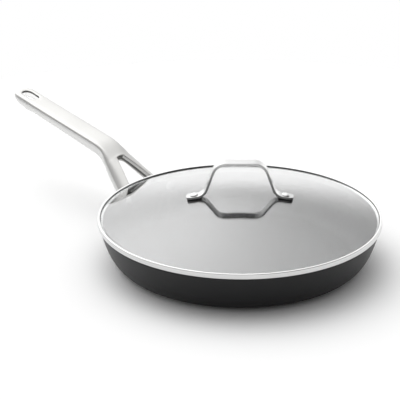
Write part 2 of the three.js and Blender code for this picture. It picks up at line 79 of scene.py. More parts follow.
def mix(a, b, share):
    return a + (b - a) * share


def ease(value, low, high):
    """0 at low, 1 at high, and smooth between them."""
    t = min(1, max(0, (value - low) / (high - low)))
    return t * t * (3 - 2 * t)


def steps(first, last, count):
    return [mix(first, last, i / count) for i in range(count + 1)]


def wall_normal(t):
    a, b, c, d = WALL_CURVE
    along = (b - a) * (1 - t) ** 2 + 2 * (c - b) * (1 - t) * t + (d - c) * t ** 2
    along.normalize()
    return Vector((along.y, -along.x))


def wall_point(t, outside=0):
    """Radius and height of the wall at a share of its curve, a distance outside it."""
    a, b, c, d = WALL_CURVE
    place = a * (1 - t) ** 3 + 3 * b * (1 - t) ** 2 * t + 3 * c * (1 - t) * t ** 2 + d * t ** 3
    return place + outside * wall_normal(t)


def inner_point(t):
    return wall_point(t, -mix(FLOOR, WALL, ease(t, 0, WALL_THINNING)))


def share_at(height, surface):
    """Where along the curve a wall surface reaches a height, by halving."""
    low, high = 0, 1
    for _ in range(HALVINGS):
        middle = (low + high) / 2
        if surface(middle).y < height:
            low = middle
        else:
            high = middle
    return middle


def half_round(start, end, rise, count):
    """Points of a half ellipse that rises between two points of a profile, without those points."""
    middle = (start + end) / 2
    half = (start - end) / 2
    angles = steps(0, math.pi, count)[1:-1]
    return [middle + half * math.cos(a) + Vector((0, rise * math.sin(a))) for a in angles]


def close_up(piece):
    """Merges doubles, closes open ends, points the faces outwards and shades the piece smooth."""
    bpy.ops.mesh.select_all(action="SELECT")
    bpy.ops.mesh.remove_doubles(threshold=SAME_POINT)
    bpy.ops.mesh.fill_holes(sides=0)
    bpy.ops.mesh.select_all(action="SELECT")
    bpy.ops.mesh.normals_make_consistent(inside=False)
    bpy.ops.object.mode_set(mode="OBJECT")
    bpy.ops.object.shade_smooth_by_angle(angle=SMOOTH_ANGLE)
    return piece


def start_piece(name):
    """Puts the new primitive's place in its mesh, names it and opens it for modelling."""
    piece = bpy.context.object
    piece.name = name
    piece.data.name = name
    bpy.ops.object.transform_apply(location=True, rotation=True, scale=True)
    bpy.ops.object.mode_set(mode="EDIT")
    bpy.ops.mesh.select_all(action="SELECT")
    return piece


def turn_up(name, profile, sides):
    """Draws a circle out ring by ring along a profile of radius and height."""
    bpy.ops.object.select_all(action="DESELECT")
    bpy.ops.mesh.primitive_circle_add(vertices=sides, radius=profile[0][0], location=(0, 0, profile[0][1]))
    piece = start_piece(name)
    for (last_radius, last_height), (radius, height) in zip(profile, profile[1:]):
        bpy.ops.mesh.extrude_edges_move(TRANSFORM_OT_translate={"value": (0, 0, height - last_height)})
        growth = radius / last_radius
        bpy.ops.transform.resize(value=(growth, growth, 1), center_override=(0, 0, 0))
    return close_up(piece)


rim_line = PAN_HEIGHT - RIM_ROUNDING
outer_wall = [wall_point(t) for t in steps(0, share_at(rim_line, wall_point), WALL_RINGS)]
inner_wall = [inner_point(t) for t in steps(share_at(rim_line, inner_point), 0, WALL_RINGS)]
pan_rim = half_round(outer_wall[-1], inner_wall[0], RIM_ROUNDING, RIM_RINGS)
pan_base = [Vector((AXIS_HOLE, 0)), Vector((BASE_RADIUS / 2, 0))]
pan_floor = [Vector((BASE_RADIUS / 2, FLOOR)), Vector((AXIS_HOLE, FLOOR))]
pan = turn_up("pan_pressing", pan_base + outer_wall + pan_rim + inner_wall + pan_floor, PAN_SIDES)


def new_finish(name):
    """A new material, its node tree and its shader."""
    material = bpy.data.materials.new(name)
    material.use_nodes = True
    return material, material.node_tree, material.node_tree.nodes["Principled BSDF"]


def feed(tree, node, sockets):
    """Gives each named socket of a node a value, or the output of another node."""
    for socket, value in sockets.items():
        if isinstance(value, bpy.types.NodeSocket):
            tree.links.new(value, node.inputs[socket])
        else:
            node.inputs[socket].default_value = value


def add_node(tree, kind, sockets, **options):
    node = tree.nodes.new(kind)
    for option, value in options.items():
        setattr(node, option, value)
    feed(tree, node, sockets)
    return node


def node_math(tree, operation, *values):
    """A sum or a comparison of values or of outputs of other nodes."""
    return add_node(tree, "ShaderNodeMath", dict(enumerate(values)), operation=operation).outputs[0]


def blend_colours(tree, share, low, high):
    """A colour between two others, by a mask."""
    node = add_node(tree, "ShaderNodeMix", {0: share, 6: low, 7: high}, data_type="RGBA")
    return node.outputs[2]


def spread(tree, mask, low, high):
    """A mask from 0 to 1 spread between two values."""
    return add_node(tree, "ShaderNodeMapRange", {"Value": mask, "To Min": low, "To Max": high}).outputs[0]


def relief(tree, height, strength, depth):
    """A surface normal from a height."""
    sockets = {"Height": height, "Strength": strength, "Distance": depth}
    return add_node(tree, "ShaderNodeBump", sockets).outputs[0]


def new_effect(name, inputs, outputs):
    """A node group with named sockets. Its maker fills it in."""
    group = bpy.data.node_groups.new(name, "ShaderNodeTree")
    for socket, kind in inputs.items():
        group.interface.new_socket(name=socket, in_out="INPUT", socket_type=kind)
    for socket in outputs:
        group.interface.new_socket(name=socket, in_out="OUTPUT", socket_type="NodeSocketFloat")
    return group, group.nodes.new("NodeGroupInput").outputs, group.nodes.new("NodeGroupOutput")


def make_surface_grain():
    """Fine grain and broad mottling, as cast, blasted and coated surfaces have."""
    scales = {"Fine Scale": "NodeSocketFloat", "Broad Scale": "NodeSocketFloat"}
    group, given, result = new_effect("surface_grain", scales, ["Fine", "Broad"])
    place = group.nodes.new("ShaderNodeTexCoord").outputs["Object"]
    fine = {"Vector": place, "Scale": given["Fine Scale"], "Detail": 3, "Roughness": 0.6}
    broad = {"Vector": place, "Scale": given["Broad Scale"], "Detail": 4, "Roughness": 0.55}
    feed(group, result, {
        "Fine": add_node(group, "ShaderNodeTexNoise", fine).outputs[0],
        "Broad": add_node(group, "ShaderNodeTexNoise", broad).outputs[0],
    })
    return group


def make_turned_lines():
    """Fine rings round the axis, as a spun, polished or wiped disc has."""
    group, given, result = new_effect("turned_lines", {"Density": "NodeSocketFloat"}, ["Lines"])
    place = group.nodes.new("ShaderNodeTexCoord").outputs["Object"]
    parts = add_node(group, "ShaderNodeSeparateXYZ", {0: place}).outputs
    level = add_node(group, "ShaderNodeCombineXYZ", {"X": parts["X"], "Y": parts["Y"]}).outputs[0]
    radius = add_node(group, "ShaderNodeVectorMath", {0: level}, operation="LENGTH").outputs["Value"]
    along = node_math(group, "ADD", radius, parts["Z"])
    dense = node_math(group, "MULTIPLY", along, given["Density"])
    rings = {"W": dense, "Scale": 1, "Detail": 3}
    noise = add_node(group, "ShaderNodeTexNoise", rings, noise_dimensions="1D")
    feed(group, result, {"Lines": noise.outputs[0]})
    return group


surface_grain = make_surface_grain()
turned_lines = make_turned_lines()


def add_effect(tree, group, sockets):
    return add_node(tree, "ShaderNodeGroup", sockets, node_tree=group).outputs


def anodised_finish():
    material, tree, shader = new_finish("anodised_charcoal")
    grain = add_effect(tree, surface_grain, {"Fine Scale": 1400, "Broad Scale": 45})
    feed(tree, shader, {
        "Base Color": blend_colours(tree, grain["Broad"], ANODISED_DARK, ANODISED_LIGHT),
        "Roughness": spread(tree, grain["Fine"], low=0.38, high=0.50),
        "Normal": relief(tree, grain["Fine"], strength=0.25, depth=0.05 * MM),
        "Specular IOR Level": 0.36,
    })
    return material


def cooking_coat_finish():
    material, tree, shader = new_finish("cooking_coat")
    grain = add_effect(tree, surface_grain, {"Fine Scale": 1100, "Broad Scale": 60})
    lines = add_effect(tree, turned_lines, {"Density": 1600})
    feed(tree, shader, {
        "Base Color": blend_colours(tree, grain["Fine"], COAT_DARK, COAT_LIGHT),
        "Roughness": spread(tree, grain["Broad"], low=0.46, high=0.56),
        "Normal": relief(tree, lines["Lines"], strength=0.1, depth=0.03 * MM),
    })
    return material


pan.data.materials.append(anodised_finish())
pan.data.materials.append(cooking_coat_finish())
rim_middle = (outer_wall[-1].x + inner_wall[0].x) / 2
for face in pan.data.polygons:
    is_inside = face.normal.z > 0 and face.center.xy.length < rim_middle
    face.material_index = 1 if is_inside else 0
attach(pan, "pan")
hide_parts("pan_body")


# Long handle: one steel casting with a flat top, a rounded underside and a hanging slot. It forks into
# two legs, whose feet follow the pan's wall. Most of it is satin steel. Its outer sides are a paler painted
# steel and the slot's lower wall a near-white one, as painted light, and the slot's edge, the crotch and
# the legs' lower inner walls are dark steel, as painted shade. Two rivets hold it.
SEAT_GAP = 0.3 * MM
HANDLE_REACH = 210.5 * MM
BEND_REACH = 56 * MM
BEND_RISE = 31.2 * MM
BEND_EASE = 13 * MM
CROTCH_REACH = 38.5 * MM
GRIP_SLOPE = math.radians(9.3)
LEG_RIM_DROP = 3.66 * MM
GRIP_WIDTH_TIP = 27.4 * MM
GRIP_WIDTH_BEND = 28.4 * MM
GRIP_DEPTH_TIP = 9.5 * MM
GRIP_DEPTH_MIDDLE = 14.5 * MM
GRIP_DEPTH_BEND = 16.5 * MM
TIP_SWELL = 62 * MM
TIP_CORNER = 9 * MM
TIP_CORNER_STEP = math.pi / 6
GRIP_EDGE = 2 * MM
LEG_EDGE = 3.6 * MM
GAP_EDGE = 0.5 * MM
UPPER_WALL = {6, 7}
LOWER_WALL = {5, 6}
OUTER_SIDES = ({2, 3}, {3, 4})
# After satin, the second, third and fourth materials are painted shade, painted light and painted paler
# sides, not finishes of the steel.
SATIN, PAINTED_SHADE, PAINTED_BRIGHT, PAINTED_PALE = range(4)
SIDE_SHARE = 0.62
UNDERSIDE_DRAW = 0.32
SLOT_LENGTH = 24 * MM
SLOT_WIDTH = 13 * MM
SLOT_MARGIN = 6.5 * MM
SLOT_WALL = 1.6 * MM
SLOT_DRAW = 4 * MM
SLOT_ARC_ROWS = 4
SLOT_ROW = 3 * MM
GRIP_START = 8 * MM
GRIP_ROWS = 8
BEND_ROWS = 6
LEG_WALL = 4.4 * MM
LEG_DRAW = 1.2 * MM
LEG_WIDTH = 13.5 * MM
LEG_DEPTH_INNER = 7.5 * MM
LEG_DEPTH_OUTER = 13 * MM
LEG_CENTRE_BEND = 6.8 * MM
LEG_CENTRE_RIM = 24 * MM
LEG_TWIST = math.radians(24)
TWIST_REACH = 17 * MM
LEG_END = 126 * MM
GAP_HALF_CROTCH = 5 * MM
GAP_HALF_RIM = 18.5 * MM
GAP_CORNER = 1.5 * MM
CROTCH_MARGIN = 1.5 * MM
LEG_START = 7 * MM
LEG_ROWS = 8
FOOT_WIDTH = 26 * MM
FOOT_HEIGHT = 19 * MM
FOOT_THICKNESS = 4 * MM
FOOT_EDGE = 0.8 * MM
FOOT_SIDES = 48
EDGE_STEPS = 3
SUBDIVISIONS = 3
TOUCHING = 0.01 * MM
LID_SIDE = 153.2 * MM
STEEL_DARK = (0.535, 0.532, 0.521, 1)
STEEL_LIGHT = (0.59, 0.587, 0.574, 1)
# Painted light: a paler steel that lightens the handle's outer sides.
PALE_PAINT_DARK = (0.70, 0.698, 0.69, 1)
PALE_PAINT_LIGHT = (0.76, 0.758, 0.75, 1)
# Painted light: a near-white steel that makes the slot's lower wall read bright.
BRIGHT_PAINT_DARK = (0.90, 0.898, 0.89, 1)
BRIGHT_PAINT_LIGHT = (0.95, 0.948, 0.94, 1)
# Painted shade: a dark steel for the slot's edge, the crotch and the legs' lower inner walls.
SHADE_PAINT_DARK = (0.11, 0.109, 0.105, 1)
SHADE_PAINT_LIGHT = (0.17, 0.168, 0.162, 1)

tip_radius = RIM_RADIUS + HANDLE_REACH
bend_radius = RIM_RADIUS + BEND_REACH
crotch_radius = RIM_RADIUS + CROTCH_REACH
bend_top = PAN_HEIGHT + BEND_RISE
leg_slope = math.atan2(BEND_RISE + LEG_RIM_DROP, BEND_REACH)
slot_half = SLOT_WIDTH / 2
slot_far = tip_radius - SLOT_MARGIN - slot_half
slot_near = slot_far - SLOT_LENGTH + SLOT_WIDTH


def spine_height(radius):
    """Height of the handle's top along its middle: straight on both sides of an eased bend."""
    past = radius - bend_radius
    grip, leg = math.tan(GRIP_SLOPE), math.tan(leg_slope)
    if past >= BEND_EASE:
        return bend_top + past * grip
    if past <= -BEND_EASE:
        return bend_top + past * leg
    t = (BEND_EASE - past) / (2 * BEND_EASE)
    return bend_top + BEND_EASE * (grip * (1 - t) ** 2 - leg * t ** 2)


def leg_middle(radius):
    return mix(LEG_CENTRE_BEND, LEG_CENTRE_RIM, (bend_radius - radius) / BEND_REACH)


def top_height(radius, across):
    """Height of the top: flat across the grip, and leaning outwards down the legs."""
    lean = math.tan(LEG_TWIST) * ease(-radius, -bend_radius, -RIM_RADIUS - TWIST_REACH)
    return spine_height(radius) - (across - leg_middle(radius)) * lean


def grip_half(radius):
    share = (radius - bend_radius) / (tip_radius - bend_radius)
    return mix(GRIP_WIDTH_BEND, GRIP_WIDTH_TIP, share) / 2


def outer_half(radius):
    return max(grip_half(max(radius, bend_radius)), leg_middle(radius) + LEG_WIDTH / 2)


def gap_half(radius):
    return mix(GAP_HALF_CROTCH, GAP_HALF_RIM, (crotch_radius - radius) / CROTCH_REACH)


def casting_depth(radius, leg_depth):
    from_tip = tip_radius - radius
    swell = math.sin(min(1, from_tip / TIP_SWELL) * math.pi / 2)
    grip = mix(mix(GRIP_DEPTH_TIP, GRIP_DEPTH_MIDDLE, swell), GRIP_DEPTH_BEND,
               ease(from_tip, TIP_SWELL, tip_radius - bend_radius))
    return mix(grip, leg_depth, ease(-radius, -bend_radius, -crotch_radius))


def handle_plan():
    """Points of one half of the top, from the tip to the pan. Each entry has a point of the inner edge and
    one of the outer edge, as distances from the pan's axis and offsets from the handle's middle, and the
    way from the inner edge into the metal, which is nothing where the two halves join."""
    corner = Vector((tip_radius - TIP_CORNER, GRIP_WIDTH_TIP / 2 - TIP_CORNER))
    plan = []
    for i, angle in enumerate(steps(0, math.pi / 2, SLOT_ARC_ROWS)):
        into = Vector((math.cos(angle), math.sin(angle)))
        turn = max(0, i - 1) * TIP_CORNER_STEP
        outer = corner + TIP_CORNER * Vector((math.cos(turn), math.sin(turn)))
        if i == 0:
            outer.y = 0
        plan.append((Vector((slot_far, 0)) + slot_half * into, outer, into))
    middle = (slot_far + slot_near) / 2
    plan.append((Vector((middle, slot_half)), Vector((middle, grip_half(middle))), Vector((0, 1))))
    for i, angle in enumerate(steps(math.pi / 2, math.pi, SLOT_ARC_ROWS)):
        into = Vector((math.cos(angle), math.sin(angle)))
        radius = slot_near - i * SLOT_ROW
        plan.append((Vector((slot_near, 0)) + slot_half * into, Vector((radius, grip_half(radius))), into))
    grip_rows = steps(plan[-1][1].x - GRIP_START, bend_radius + BEND_EASE, GRIP_ROWS)
    bend_rows = steps(bend_radius + BEND_EASE, bend_radius - BEND_EASE, BEND_ROWS)[1:]
    for radius in grip_rows + bend_rows:
        plan.append((Vector((radius, 0)), Vector((radius, outer_half(radius))), Vector((0, 0))))
    eased = crotch_radius - GAP_CORNER
    along_leg = Vector(((GAP_HALF_RIM - GAP_HALF_CROTCH) / CROTCH_REACH, 1)).normalized()
    crotch = [
        (Vector((crotch_radius, 0)), Vector((1, 0))),
        (Vector((crotch_radius, GAP_HALF_CROTCH - GAP_CORNER)), Vector((0.96, 0.28))),
        (Vector((crotch_radius - GAP_CORNER / 4, GAP_HALF_CROTCH - GAP_CORNER / 5)), Vector((0.7, 0.7))),
        (Vector((eased, gap_half(eased))), along_leg),
    ]
    crotch_rows = steps(crotch_radius + CROTCH_MARGIN, eased - CROTCH_MARGIN, len(crotch) - 1)
    for (inner, into), radius in zip(crotch, crotch_rows):
        plan.append((inner, Vector((radius, outer_half(radius))), into))
    for radius in steps(eased - LEG_START, LEG_END, LEG_ROWS):
        plan.append((Vector((radius, gap_half(radius))), Vector((radius, outer_half(radius))), along_leg))
    return plan


def on_handle(plan_point, below_top):
    """A point of the handle in space, below a point of its top. Down the legs it goes in square to them."""
    radius, across = plan_point
    lean = math.tan(leg_slope) * ease(-radius, -bend_radius - BEND_EASE, -crotch_radius)
    return Vector((-radius - below_top * lean, across, top_height(radius, across) - below_top))


def handle_rails():
    """Eight lines along one half of the handle, round its section: over the top, down the side, along the
    underside and up the wall of the slot or of the gap between the legs."""
    rails = [[] for _ in range(8)]
    for inner, outer, into in handle_plan():
        is_leg = ease(-inner.x, -bend_radius, -crotch_radius)
        outwards = (outer - inner).normalized()
        edge = mix(GRIP_EDGE, LEG_EDGE, is_leg)
        deep_in = casting_depth(inner.x, LEG_DEPTH_INNER)
        deep_out = casting_depth(outer.x, LEG_DEPTH_OUTER)
        draw = (inner - outer) * UNDERSIDE_DRAW
        section = [
            on_handle(inner + into * GAP_EDGE, 0),
            on_handle(outer - outwards * edge, 0),
            on_handle(outer, edge),
            on_handle(outer, deep_out * SIDE_SHARE),
            on_handle(outer, deep_out) + Vector((-draw.x, draw.y, 0)),
            on_handle(inner + into * mix(SLOT_DRAW, LEG_DRAW, is_leg), deep_in),
            on_handle(inner, mix(SLOT_WALL, LEG_WALL, is_leg)),
            on_handle(inner, GAP_EDGE),
        ]
        for rail, place in zip(rails, section):
            rail.append(place)
    return rails


def draw_rail(points):
    """Draws a line in the open mesh: a small plane merged to one point, drawn out from there."""
    bpy.ops.mesh.primitive_plane_add(size=MM, location=points[0])
    bpy.ops.mesh.merge(type="CENTER")
    for last, point in zip(points, points[1:]):
        bpy.ops.mesh.extrude_vertices_move(TRANSFORM_OT_translate={"value": point - last})


def pick(piece, kind, test):
    """Selects the points, edges or faces of the open mesh that pass a test."""
    bpy.ops.mesh.select_mode(type=kind)
    bpy.ops.mesh.select_all(action="DESELECT")
    open_mesh = bmesh.from_edit_mesh(piece.data)
    parts = {"VERT": open_mesh.verts, "EDGE": open_mesh.edges, "FACE": open_mesh.faces}[kind]
    for part in parts:
        if test(part):
            part.select_set(True)
    bmesh.update_edit_mesh(piece.data)


def joins_rail(edge, count, rails):
    """Whether an edge runs along one of these rails."""
    first, second = (point.index // count for point in edge.verts)
    return first == second and first in rails


def skin_rails(name, rails):
    """Draws the rails and bridges each to the next, and the last to the first."""
    bpy.ops.object.select_all(action="DESELECT")
    bpy.ops.mesh.primitive_plane_add(size=MM)
    piece = start_piece(name)
    bpy.ops.mesh.delete(type="VERT")
    for rail in rails:
        draw_rail(rail)
    count = len(rails[0])
    for i in range(len(rails)):
        bridged = {i, (i + 1) % len(rails)}
        pick(piece, "EDGE", lambda edge: joins_rail(edge, count, bridged))
        bpy.ops.mesh.bridge_edge_loops()
    return piece


def apply_modifier(piece, kind, **settings):
    modifier = piece.modifiers.new(kind.lower(), kind)
    for setting, value in settings.items():
        setattr(modifier, setting, value)
    bpy.ops.object.select_all(action="DESELECT")
    bpy.context.view_layer.objects.active = piece
    piece.select_set(True)
    bpy.ops.object.modifier_apply(modifier=modifier.name)


def combine(piece, tool, operation):
    """Joins a piece with a tool, or cuts it by the tool, and throws the tool away."""
    apply_modifier(piece, "BOOLEAN", operation=operation, object=tool, solver="EXACT")
    bpy.data.objects.remove(tool)


def mirror_half(piece, axis):
    """Opens one half of a piece at its middle and joins the other half to it there."""
    pick(piece, "FACE", lambda face: all(abs(point.co[axis]) < TOUCHING for point in face.verts))
    bpy.ops.mesh.delete(type="FACE")
    bpy.ops.object.mode_set(mode="OBJECT")
    apply_modifier(piece, "MIRROR", use_axis=tuple(i == axis for i in range(3)), merge_threshold=TOUCHING)
    bpy.ops.object.mode_set(mode="EDIT")


def make_drawn_lines():
    """Fine streaks along a direction, as brushing or drawing leaves in metal."""
    sockets = {"Turn": "NodeSocketVector", "Stretch": "NodeSocketVector"}
    group, given, result = new_effect("drawn_lines", sockets, ["Lines"])
    place = group.nodes.new("ShaderNodeTexCoord").outputs["Object"]
    turned = add_node(group, "ShaderNodeVectorRotate",
                      {"Vector": place, "Rotation": given["Turn"]}, rotation_type="EULER_XYZ").outputs[0]
    drawn = add_node(group, "ShaderNodeVectorMath",
                     {0: turned, 1: given["Stretch"]}, operation="MULTIPLY").outputs[0]
    noise = add_node(group, "ShaderNodeTexNoise", {"Vector": drawn, "Scale": 1, "Detail": 3})
    feed(group, result, {"Lines": noise.outputs[0]})
    return group


drawn_lines = make_drawn_lines()


def handle_steel_finish(name, dark, light, smoothest, roughest):
    material, tree, shader = new_finish(name)
    grain = add_effect(tree, surface_grain, {"Fine Scale": 1800, "Broad Scale": 30})
    lines = add_effect(tree, drawn_lines, {"Turn": (0, 0, 0), "Stretch": (60, 1500, 1500)})
    feed(tree, shader, {
        "Base Color": blend_colours(tree, grain["Broad"], dark, light),
        "Roughness": spread(tree, lines["Lines"], smoothest, roughest),
        "Normal": relief(tree, grain["Fine"], strength=0.15, depth=0.03 * MM),
        "Metallic": 1,
    })
    return material


def painted_shade_finish():
    """Painted shade: a dark steel on the slot's edge and inside the fork, standing in for the shade there.
    """
    material, tree, shader = new_finish("as_cast_steel")
    grain = add_effect(tree, surface_grain, {"Fine Scale": 900, "Broad Scale": 120})
    feed(tree, shader, {
        "Base Color": blend_colours(tree, grain["Broad"], SHADE_PAINT_DARK, SHADE_PAINT_LIGHT),
        "Roughness": spread(tree, grain["Fine"], low=0.50, high=0.62),
        "Normal": relief(tree, grain["Fine"], strength=0.2, depth=0.04 * MM),
        "Metallic": 1,
    })
    return material


rails = handle_rails()
handle = skin_rails("handle_casting", rails)
# After satin steel come the painted shade, the painted bright slot wall and the painted paler sides.
handle_finishes = (
    handle_steel_finish("satin_steel", STEEL_DARK, STEEL_LIGHT, smoothest=0.40, roughest=0.50),
    painted_shade_finish(),
    handle_steel_finish("milled_steel", BRIGHT_PAINT_DARK, BRIGHT_PAINT_LIGHT, smoothest=0.30, roughest=0.38),
    handle_steel_finish("buffed_steel", PALE_PAINT_DARK, PALE_PAINT_LIGHT, smoothest=0.32, roughest=0.42),
)
for material in handle_finishes:
    handle.data.materials.append(material)


def wall_steel_or_paint(face):
    """Which material a face has, by the rails that it lies between and by its place along the handle:
    painted shade on the slot's edge, the crotch and the legs' lower inner walls, painted light on the
    slot's lower wall, paler painted steel on the outer sides, and satin steel elsewhere.
    """
    wall = {point.index // len(rails[0]) for point in face.verts}
    middle = face.calc_center_median()
    is_slot = -middle.x > bend_radius
    is_crotch = not is_slot and middle.y < GAP_HALF_CROTCH - GAP_CORNER / 2
    if wall == UPPER_WALL:
        return PAINTED_SHADE if is_slot or is_crotch else SATIN
    if wall == LOWER_WALL:
        return PAINTED_BRIGHT if is_slot else PAINTED_SHADE
    return PAINTED_PALE if wall in OUTER_SIDES else SATIN


# Paints the shade, the bright slot wall and the paler sides onto their faces.
for finish in (PAINTED_SHADE, PAINTED_BRIGHT, PAINTED_PALE):
    pick(handle, "FACE", lambda face: wall_steel_or_paint(face) == finish)
    handle.active_material_index = finish
    bpy.ops.object.material_slot_assign()
mirror_half(handle, axis=1)
close_up(handle)
apply_modifier(handle, "SUBSURF", levels=SUBDIVISIONS, render_levels=SUBDIVISIONS)


def pan_space(gap):
    """A tool of the space that the pan and its lid fill, grown by a gap."""
    wall = [wall_point(t, gap) for t in steps(0, 1, WALL_RINGS)]
    top = bend_top + GRIP_DEPTH_BEND
    profile = [Vector((AXIS_HOLE, wall[0].y))] + wall
    profile += [Vector((LID_SIDE, wall[-1].y)), Vector((LID_SIDE, top)), Vector((AXIS_HOLE, top))]
    return turn_up("pan_space", profile, PAN_SIDES)


RIVET_HEIGHT = 32.5 * MM
RIVET_SPACING = 64 * MM
rivet_share = share_at(RIVET_HEIGHT, wall_point)
rivet_seat = wall_point(rivet_share)
rivet_wall = (rivet_seat - inner_point(rivet_share)).length
rivet_angle = math.asin(RIVET_SPACING / 2 / rivet_seat.x)


def rivet_frame(side):
    """Place of a rivet on the wall, with the Z axis leaving the wall squarely."""
    turn = math.pi - side * rivet_angle
    out = Vector((math.cos(turn), math.sin(turn), 0))
    normal = wall_normal(rivet_share)
    axis = out * normal.x + Vector((0, 0, normal.y))
    across = Vector((0, 0, 1)).cross(axis).normalized()
    seat = out * rivet_seat.x + Vector((0, 0, rivet_seat.y))
    turned = Matrix((across, axis.cross(across), axis)).transposed().to_4x4()
    return Matrix.Translation(seat) @ turned


def foot(side):
    """A foot: a round block drawn out to a stadium, cut to a plate that follows the wall."""
    bpy.ops.object.select_all(action="DESELECT")
    bpy.ops.mesh.primitive_circle_add(vertices=FOOT_SIDES, radius=FOOT_HEIGHT / 2, fill_type="NGON")
    block = start_piece("foot")
    spread_out = (FOOT_WIDTH - FOOT_HEIGHT) / 2
    for end in (1, -1):
        pick(block, "VERT", lambda point: point.co.x * end > TOUCHING)
        bpy.ops.transform.translate(value=(end * spread_out, 0, 0))
    bpy.ops.mesh.select_all(action="SELECT")
    bpy.ops.transform.translate(value=(0, 0, -FOOT_HEIGHT / 2))
    bpy.ops.mesh.extrude_region_move(TRANSFORM_OT_translate={"value": (0, 0, FOOT_HEIGHT)})
    close_up(block)
    block.data.transform(rivet_frame(side))
    combine(block, pan_space(SEAT_GAP + FOOT_THICKNESS), "INTERSECT")
    apply_modifier(block, "BEVEL", width=FOOT_EDGE, segments=EDGE_STEPS, angle_limit=SMOOTH_ANGLE)
    return block


for side in (1, -1):
    combine(handle, foot(side), "UNION")
combine(handle, pan_space(SEAT_GAP), "DIFFERENCE")
bpy.ops.object.shade_smooth_by_angle(angle=SMOOTH_ANGLE)
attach(handle, "pan")
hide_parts("long_handle")


# Wall rivets: two solid steel rivets with low polished heads inside the pan. Each goes through the wall
# and a foot of the handle, and its tail is formed over on the outside.
RIVET_SHANK = 3.2 * MM
RIVET_HEAD = 6 * MM
RIVET_HEAD_RISE = 1.8 * MM
RIVET_TAIL = 4.8 * MM
RIVET_TAIL_RISE = 1.6 * MM
RIVET_POINT = 0.2 * MM
RIVET_SIDES = 40
HEAD_RINGS = 8
TAIL_RINGS = 6
POLISHED_DARK = (0.62, 0.62, 0.62, 1)
POLISHED_LIGHT = (0.69, 0.69, 0.685, 1)


def rivet_profile(low, high, shank, head, head_rise, tail, tail_rise):
    """Radius and height of a rivet: a domed head below, a shank, and a tail formed over above."""
    head_turns = steps(0, math.pi / 2, HEAD_RINGS)
    tail_turns = steps(0, math.pi / 2, TAIL_RINGS)
    dome = [Vector((head * math.sin(a), low - head_rise * math.cos(a))) for a in head_turns]
    dome[0].x = RIVET_POINT
    formed = [Vector((tail * math.cos(a), high + tail_rise * math.sin(a))) for a in tail_turns]
    formed[-1].x = RIVET_POINT
    return dome + [Vector((shank, low)), Vector((shank, high))] + formed


def copy_of(piece, name):
    copy = piece.copy()
    copy.data = piece.data.copy()
    copy.name = name
    bpy.context.scene.collection.objects.link(copy)
    return copy


def polished_steel_finish():
    material, tree, shader = new_finish("polished_steel")
    grain = add_effect(tree, surface_grain, {"Fine Scale": 900, "Broad Scale": 40})
    lines = add_effect(tree, turned_lines, {"Density": 2600})
    feed(tree, shader, {
        "Base Color": blend_colours(tree, grain["Broad"], POLISHED_DARK, POLISHED_LIGHT),
        "Roughness": spread(tree, lines["Lines"], low=0.14, high=0.26),
        "Normal": relief(tree, grain["Fine"], strength=0.05, depth=0.02 * MM),
        "Metallic": 1,
    })
    return material


polished_steel = polished_steel_finish()
tail_seat = SEAT_GAP + FOOT_THICKNESS
rivet_shape = rivet_profile(-rivet_wall, tail_seat, RIVET_SHANK, RIVET_HEAD, RIVET_HEAD_RISE,
                            RIVET_TAIL, RIVET_TAIL_RISE)
first_rivet = turn_up("wall_rivet_1", rivet_shape, RIVET_SIDES)
first_rivet.data.materials.append(polished_steel)
wall_rivets = [first_rivet, copy_of(first_rivet, "wall_rivet_2")]
for number, side in ((1, 1), (2, -1)):
    rivet = wall_rivets[number - 1]
    rivet.data.transform(rivet_frame(side))
    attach(rivet, "pan")
    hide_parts(f"handle_rivet_{number}")


# Lid glass: a clear tempered dome with a ground edge, round at the crown and straighter down the flanks.
# The steel band holds it round its edge, and the strap's two rivets go through it.
LID_OVERHANG = 1 * MM
LID_TURN = math.radians(46)
GLASS_THICKNESS = 3 * MM
GLASS_INSET = 1.5 * MM
GLASS_EDGE_LIFT = 4.06 * MM
DOME_SAGITTA = 26.6 * MM
DOME_ROUNDING = 80 * MM
DOME_RINGS = 48
GROUND_EDGE_RINGS = 8
GLASS_INDEX = 1.85
GLASS_TINT = (0.95, 0.957, 0.96, 1)

lid_seat = PAN_HEIGHT + SEAT_GAP
lid_frame = Matrix.Translation((0, 0, lid_seat)) @ Matrix.Rotation(LID_TURN, 4, "Z")
lid_radius = RIM_RADIUS + LID_OVERHANG
glass_radius = lid_radius - GLASS_INSET
dome_steepness = DOME_SAGITTA / (math.hypot(DOME_ROUNDING, glass_radius) - DOME_ROUNDING)


def dome_height(radius):
    """Height of the top of the glass above the lid's seat."""
    drop = dome_steepness * (math.hypot(DOME_ROUNDING, radius) - DOME_ROUNDING)
    return GLASS_EDGE_LIFT + DOME_SAGITTA - drop


def dome_tilt(radius):
    return math.atan(dome_steepness * radius / math.hypot(DOME_ROUNDING, radius))


def dome_line(first, last, depth):
    """A line of the glass's profile, at a depth square to its top."""
    line = []
    for radius in steps(first, last, DOME_RINGS):
        tilt = dome_tilt(radius)
        top = Vector((radius, dome_height(radius) + lid_seat))
        line.append(top - depth * Vector((math.sin(tilt), math.cos(tilt))))
    return line


edge_round = GLASS_THICKNESS / 2
edge_radius = glass_radius - edge_round
dome_top = dome_line(AXIS_HOLE, edge_radius, 0)
dome_under = dome_line(edge_radius, AXIS_HOLE, GLASS_THICKNESS)
edge_middle = (dome_top[-1] + dome_under[0]) / 2
ground_edge = [
    edge_middle + edge_round * Vector((math.sin(a), math.cos(a)))
    for a in (dome_tilt(edge_radius) + turn for turn in steps(0, math.pi, GROUND_EDGE_RINGS)[1:-1])
]
glass = turn_up("glass_dome", dome_top + ground_edge + dome_under, PAN_SIDES)


